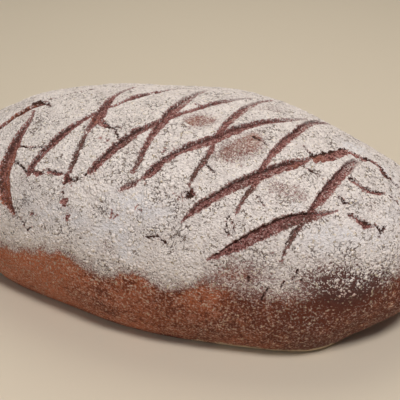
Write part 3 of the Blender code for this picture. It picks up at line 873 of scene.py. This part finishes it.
# Painted shade in the narrow parts of the slashes.
crumb = blend(tree, ramp(tree, summed(tree, (shade, 1.0), (middling, 0.4)), 0.1, 0.9, 0.0, 0.75), crumb, CRUMB_SHADE)
crumb = blend(tree, ramp(tree, summed(tree, (warmth, 1.0), (fine, 0.4)), 0.1, 0.9, 0.0, 0.7), crumb, CRUMB_WARM)
# Painted shade: the crumb is darkened along the far wall, under the lip.
wall_shade_share = ramp(tree, summed(tree, (wall, 1.0), (middling, 0.9), (fine, 0.7), (patch, 0.5)), 0.4, 1.2, 0.0, 0.85)
crumb = blend(tree, wall_shade_share, crumb, CRUMB_WALL_SHADE)

# %% [markdown]
# ### Rye flour
# The cover worked out on the mesh is compared with noise in four sizes. The comparison is soft, because flour
# dust is a veil: a full cover keeps small darker pores, a half cover lets the brown shine through as a grey pink,
# and a thin one leaves single grains. Where dough dried under the flour, the coat split into plates a few
# millimetres wide.

# %% Plates and pores in the flour
powdered = reading(tree, "powder")
wobble = tree.nodes.new("ShaderNodeTexNoise")
feed(tree, wobble.inputs["Vector"], place)
feed(tree, wobble.inputs["Scale"], 0.5)
feed(tree, wobble.inputs["Detail"], 3.0)
warp = tree.nodes.new("ShaderNodeVectorMath")
warp.operation = "MULTIPLY_ADD"
feed(tree, warp.inputs[0], wobble.outputs["Color"])
warp.inputs[1].default_value = (4.0, 4.0, 4.0)
feed(tree, warp.inputs[2], place)
shaken = warp.outputs["Vector"]

crazed = cloud(tree, place, 14.0)
plate_edge = cells(tree, shaken, 3.4, "DISTANCE_TO_EDGE").outputs["Distance"]
broken = summed(tree, (crazed, 0.6), (patch, 0.5), (middling, 0.9), (fine, 0.5))
hairline = ramp(tree, plate_edge, 0.02, 0.12, 1.0, 0.0)
hairline = math_node(tree, "MULTIPLY", hairline, ramp(tree, broken, -0.10, 0.40))
specks = cloud(tree, shaken, 1.5)
specks = summed(tree, (specks, 1.0), (dust, 0.3), (crazed, 0.25), (patch, 0.2))
pore = ramp(tree, specks, 0.37, 0.72)
gaps = math_node(tree, "MAXIMUM", hairline, pore)
gaps = math_node(tree, "MULTIPLY", gaps, ramp(tree, powdered, 0.2, 0.9, 1.0, 0.4))

# %% Flour colour and cover
level = summed(tree, (floured, 1.15), (patch, 0.12), (middling, 0.22), (fine, 0.38), (dust, 0.34), (powdered, 0.3))
flour_share = ramp(tree, level, math_node(tree, "MULTIPLY", coarse, 0.56),
                   math_node(tree, "SUBTRACT", 0.95, math_node(tree, "MULTIPLY", coarse, 0.17)))

FLOUR = linear(240, 227, 219)
FLOUR_GREY = linear(212, 198, 191)
POWDER = linear(226, 220, 221)
CUT_DUST = linear(206, 192, 184)
RIM = linear(226, 204, 172)
GAP_CRUST_IN_SHADE = linear(88, 63, 51)
flour = blend(tree, ramp(tree, summed(tree, (patch, 0.5), (middling, 0.6), (fine, 0.5)), -0.6, 0.25),
              FLOUR_GREY, FLOUR)
flour = blend(tree, math_node(tree, "MULTIPLY", powdered, 0.6), flour, POWDER)
# The gaps and pores show the crust, painted in the grey brown that crust has in shade: real crust with painted shade.
flour = blend(tree, math_node(tree, "MULTIPLY", gaps, 0.90), flour, GAP_CRUST_IN_SHADE)

# %% Put the layers together
ragged = summed(tree, (fine, 0.8), (middling, 0.5), (dust, 0.6))
slash_share = ramp(tree, math_node(tree, "ADD", slash, ragged), -0.55, 0.0)
crack_share = ramp(tree, math_node(tree, "ADD", crack, ragged), -0.40, 0.15)
fallen = summed(tree, (fine, 0.8), (dust, 0.8), (middling, 0.4), (patch, 0.4), (wall, -0.8), (fallen_in, 1.3))
crumb_dusted = blend(tree, ramp(tree, fallen, 0.2, 1.3, 0.0, 0.85), crumb, CUT_DUST)
# Painted shade on the torn crumb of the cracks and pits.
cleft_shade_share = ramp(tree, summed(tree, (crack_shade, 1.0), (fine, 0.3)), 0.2, 0.7)
shaded_cleft = blend(tree, cleft_shade_share, crumb, linear(72, 44, 34))
rim_share = ramp(tree, summed(tree, (reading(tree, "rim"), 1.0), (fine, 0.3), (middling, 0.3)), 0.1, 0.5, 0.0, 0.9)
colour = blend(tree, flour_share, brown, flour)
colour = blend(tree, rim_share, colour, RIM)
colour = blend(tree, crack_share, colour, shaded_cleft)
colour = blend(tree, slash_share, colour, crumb_dusted)
feed(tree, shader.inputs["Base Color"], colour)

rough = ramp(tree, flour_share, 0.0, 1.0, 0.72, 0.95)
feed(tree, shader.inputs["Roughness"], rough)
shader.inputs["Specular IOR Level"].default_value = 0.3

relief = summed(tree, (flour_share, 0.7), (gaps, -0.8), (fine, 0.4), (middling, 0.4), (dust, 0.3))
bump = tree.nodes.new("ShaderNodeBump")
bump.inputs["Strength"].default_value = 1.0
bump.inputs["Distance"].default_value = 0.0005
feed(tree, bump.inputs["Height"], relief)
feed(tree, shader.inputs["Normal"], bump.outputs["Normal"])

crust.data.materials.append(crust_finish)
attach(crust, "root")
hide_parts("loaf")
print("crust finish:", len(tree.nodes), "nodes")

# %% [markdown]
# ## Flour clumps, loose grains and torn crumbs
# Flour that met damp dough dried into flat clumps with gaps between them, and further down the flank single
# grains stuck. They could be painted, but real clumps throw small shadows and break up the skyline, so they are
# modelled: one small ball, turned, flattened and shaken into thousands of different lumps, and joined into one
# mesh for each kind. Where they lie is drawn at random, with a chance that follows the flour cover.

# %% Places on the crust
crust_faces = np.array([face.vertices for face in crust.data.polygons])
crust_normals = np.array([vert.normal for vert in crust.data.vertices])
corners = finished[crust_faces]
face_area = 0.5 * np.linalg.norm(np.cross(corners[:, 1] - corners[:, 0], corners[:, 2] - corners[:, 0]), axis=1)


def drawn_places(count, chance, rng):
    """Random places on the crust, likelier where the chance given for the vertices is high, with the cover there."""
    weight = face_area * np.maximum(chance[crust_faces].mean(1), 0.0)
    picked = rng.choice(len(crust_faces), size=count, p=weight / weight.sum())
    share = rng.dirichlet((1.0, 1.0, 1.0), size=count)
    spot = np.einsum("nk,nkx->nx", share, finished[crust_faces[picked]])
    normal = np.einsum("nk,nkx->nx", share, crust_normals[crust_faces[picked]])
    cover_there = cover[crust_faces[picked]].mean(1)
    return spot, normal / np.linalg.norm(normal, axis=1)[:, None], cover_there


# %% Many lumps as one mesh
def lump_shape():
    """Corners and faces of a small closed ball."""
    mesh = bmesh.new()
    bmesh.ops.create_icosphere(mesh, subdivisions=1, radius=1.0)
    shape = np.array([vert.co for vert in mesh.verts])
    faces = np.array([[vert.index for vert in face.verts] for face in mesh.faces])
    mesh.free()
    return shape, faces


def lumps(name, drawn, radii, flatness, rise, rng):
    """Flattened, shaken balls lying on the crust. The rise of a middle is a share of its own half height."""
    spots, normals, cover_there = drawn
    shape, faces = lump_shape()
    count = len(spots)
    side = np.cross(normals, rng.normal(size=(count, 3)))
    side /= np.linalg.norm(side, axis=1)[:, None]
    other = np.cross(normals, side)
    stretch = rng.uniform(0.88, 1.15, count)
    sizes = np.column_stack((radii * stretch, radii / stretch, radii * flatness))
    shaken_shape = shape[None] * rng.uniform(0.72, 1.2, (count, len(shape), 1)) * sizes[:, None, :]
    raised = shaken_shape[:, :, 2:3] + (rise * radii * flatness)[:, None, None]
    places = shaken_shape[:, :, 0:1] * side[:, None] + shaken_shape[:, :, 1:2] * other[:, None]
    places += raised * normals[:, None] + spots[:, None]
    places = np.clip(places, np.array(cad_low) + 0.0001, np.array(cad_high) - 0.0001)
    all_faces = faces[None] + len(shape) * np.arange(count)[:, None, None]
    data = bpy.data.meshes.new(name)
    data.from_pydata(places.reshape(-1, 3).tolist(), [], all_faces.reshape(-1, 3).tolist())
    data.shade_smooth()
    thing = bpy.data.objects.new(name, data)
    bpy.context.scene.collection.objects.link(thing)
    keep_attribute(thing, "flour_cover", np.repeat(cover_there, len(shape)))
    print(name + ":", count, "lumps,", count * len(faces), "triangles")
    return thing


# %% Clumps, grains and crumbs
rng = np.random.default_rng(5)
bare_cut = np.maximum(fade(slash_inside, -0.0003, 0.0002), fade(crack_inside, -0.0003, 0.0002))
patchy = 1.0 + 0.9 * noise_at(points, 0.010, 81.0)
clump_chance = (fade(cover, 0.42, 0.90) + 0.4 * speckled * fade(cover, 0.1, 0.4)) * (1.0 - bare_cut)
clump_chance *= (1.0 - 0.8 * powder) * patchy
drawn = drawn_places(9200, clump_chance, rng)
sizes = 0.00060 * np.exp(0.38 * rng.normal(size=len(drawn[0])))
clumps = lumps("flour_clumps", drawn, np.minimum(sizes, 0.0014), rng.uniform(0.18, 0.38, len(sizes)), -0.15, rng)

grain_chance = (0.012 + fade(cover, 0.12, 0.45) * (1.0 - fade(cover, 0.75, 1.0))) * (1.0 - bare_cut)
grain_chance *= np.clip(over_foot / 0.025, 0.0, 1.0) * patchy
drawn = drawn_places(6000, grain_chance, rng)
sizes = 0.00023 * np.exp(0.35 * rng.normal(size=len(drawn[0])))
grains = lumps("flour_grains", drawn, np.minimum(sizes, 0.0007), rng.uniform(0.5, 0.9, len(sizes)), 0.2, rng)

crumb_chance = fade(slash_inside, 0.0002, 0.0008) * (1.0 + noise_at(points, 0.005, 83.0))
drawn = drawn_places(3600, crumb_chance, rng)
sizes = 0.00034 * np.exp(0.30 * rng.normal(size=len(drawn[0])))
crumbs = lumps("torn_crumbs", drawn, np.minimum(sizes, 0.0008), rng.uniform(0.6, 1.0, len(sizes)), -0.2, rng)

# %% [markdown]
# The clumps and grains are plain rye flour, cream with a little grey, and quite matt. The torn crumbs take the
# pink brown of the slash floors.

# %% Lump finishes
flour_finish, tree, shader, place = start_finish("rye_flour")
tone = summed(tree, (cloud(tree, place, 6.0), 0.5), (cloud(tree, place, 2.0), 0.6), (cloud(tree, place, 0.8), 0.5))
flour_tone = blend(tree, ramp(tree, tone, -0.7, 0.4), FLOUR_GREY, FLOUR)
single = ramp(tree, reading(tree, "flour_cover"), 0.10, 0.50, 0.8, 0.0)
feed(tree, shader.inputs["Base Color"], blend(tree, single, flour_tone, linear(178, 124, 96)))
shader.inputs["Roughness"].default_value = 0.95
shader.inputs["Specular IOR Level"].default_value = 0.2
clumps.data.materials.append(flour_finish)
grains.data.materials.append(flour_finish)

crumb_finish, tree, shader, place = start_finish("torn_rye_crumb")
tone = summed(tree, (cloud(tree, place, 5.0), 0.5), (cloud(tree, place, 1.2), 0.8))
crumb_tone = blend(tree, ramp(tree, tone, -0.6, 0.2), CRUMB_DARK, CRUMB)
feed(tree, shader.inputs["Base Color"], blend(tree, ramp(tree, tone, 0.2, 0.9), crumb_tone, CRUMB_LIGHT))
shader.inputs["Roughness"].default_value = 0.85
crumbs.data.materials.append(crumb_finish)

for piece, slot in ((clumps, "flour"), (grains, "flour"), (crumbs, "crust")):
    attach(piece, "root")

# %% [markdown]
# ## Floor, light and camera
# The loaf stands on a plain pale floor. A small soft lamp hangs high on the near right, so the slashes are drawn
# from above and the raised end keeps a clear shadow. A large soft one hangs over the far side and lights the
# whole crown evenly. The pale floor lights the flanks from below, a weak cool fill comes from the near left, and
# a little light comes from all round.

# %% Floor
floor_mesh = bmesh.new()
bmesh.ops.create_grid(floor_mesh, x_segments=1, y_segments=1, size=3.0)
floor = finish_mesh("floor", floor_mesh)
floor_finish, tree, shader, place = start_finish("pale_floor")
shader.inputs["Base Color"].default_value = linear(217, 201, 179)
shader.inputs["Roughness"].default_value = 0.8
floor.data.materials.append(floor_finish)

# %% Lights
def soft_lamp(name, place, aim, size, power, colour=(1.0, 1.0, 1.0)):
    data = bpy.data.lights.new(name, "AREA")
    data.shape = "SQUARE"
    data.size = size
    data.energy = power
    data.color = colour
    lamp = bpy.data.objects.new(name, data)
    lamp.location = place
    lamp.rotation_euler = (Vector(aim) - Vector(place)).to_track_quat("-Z", "Y").to_euler()
    bpy.context.scene.collection.objects.link(lamp)
    return lamp


soft_lamp("softbox", (0.35, -0.36, 1.00), (0.0, 0.0, 0.05), 0.20, 7.2, (0.985, 0.985, 1.0))
soft_lamp("overhead", (-0.15, 0.50, 1.00), (0.0, 0.0, 0.05), 0.90, 5.4, (1.0, 0.98, 0.88))
soft_lamp("fill", (-0.70, -1.10, 0.75), (0.0, 0.0, 0.05), 0.9, 2.5, (0.88, 0.95, 1.0))
world = bpy.data.worlds.new("studio")
bpy.context.scene.world = world
world.use_nodes = True
world.node_tree.nodes["Background"].inputs["Color"].default_value = (0.92, 0.96, 1.0, 1.0)
world.node_tree.nodes["Background"].inputs["Strength"].default_value = 0.09

# %% Camera
VIEW_TURN = math.radians(19.27)     # round the loaf from its near flank towards its fuller end
VIEW_RISE = math.radians(32.43)
VIEW_DISTANCE = 0.4364
VIEW_ANGLE = math.radians(30.75)
aim = (cad_low + cad_high) / 2 + Vector((0.0081, 0.0112, -0.0144))
towards = Vector((math.sin(VIEW_TURN) * math.cos(VIEW_RISE), -math.cos(VIEW_TURN) * math.cos(VIEW_RISE),
                  math.sin(VIEW_RISE)))
camera_data = bpy.data.cameras.new("camera")
camera_data.sensor_width = 36.0
camera_data.lens = camera_data.sensor_width / 2 / math.tan(VIEW_ANGLE / 2)
camera = bpy.data.objects.new("camera", camera_data)
camera.location = aim + VIEW_DISTANCE * towards
camera.rotation_euler = (-towards).to_track_quat("-Z", "Y").to_euler()
bpy.context.scene.collection.objects.link(camera)
bpy.context.scene.camera = camera
bpy.context.scene.view_settings.view_transform = "Standard"
print("camera:", [round(v, 3) for v in camera.location], "lens", round(camera_data.lens, 1), "mm")
